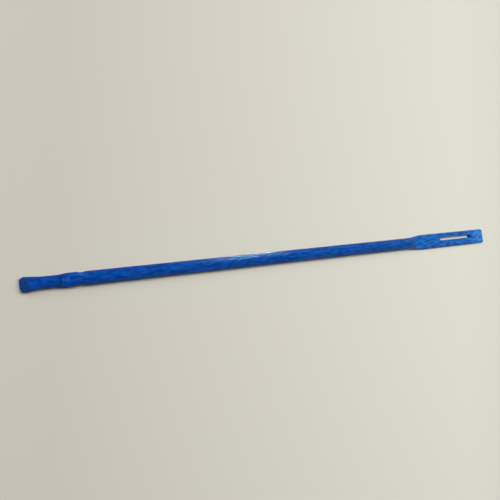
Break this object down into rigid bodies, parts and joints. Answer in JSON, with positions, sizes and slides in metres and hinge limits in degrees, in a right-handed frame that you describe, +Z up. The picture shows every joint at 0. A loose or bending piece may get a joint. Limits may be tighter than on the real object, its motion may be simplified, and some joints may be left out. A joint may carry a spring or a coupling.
{
  "type": "flute cleaning rod",
  "caption": "Slim plastic cleaning rod with a waisted handle, a plain round shaft and a flat paddle with a long slotted eye for a cloth.",
  "frame": {"origin": "on the surface the rod lies on, below the middle of its length and width", "axes": "+X along the rod from the handle to the cloth eye, +Y across the flat of the eye, +Z up"},
  "size_m": [0.337, 0.0082, 0.0059],
  "materials": {
    "printed_plastic": "satin blue printed plastic with fine layer lines along the rod"
  },
  "bodies": {
    "root": {"handle_grip": "printed_plastic", "shaft": "printed_plastic", "eye_paddle": "printed_plastic"}
  },
  "joints": []
}
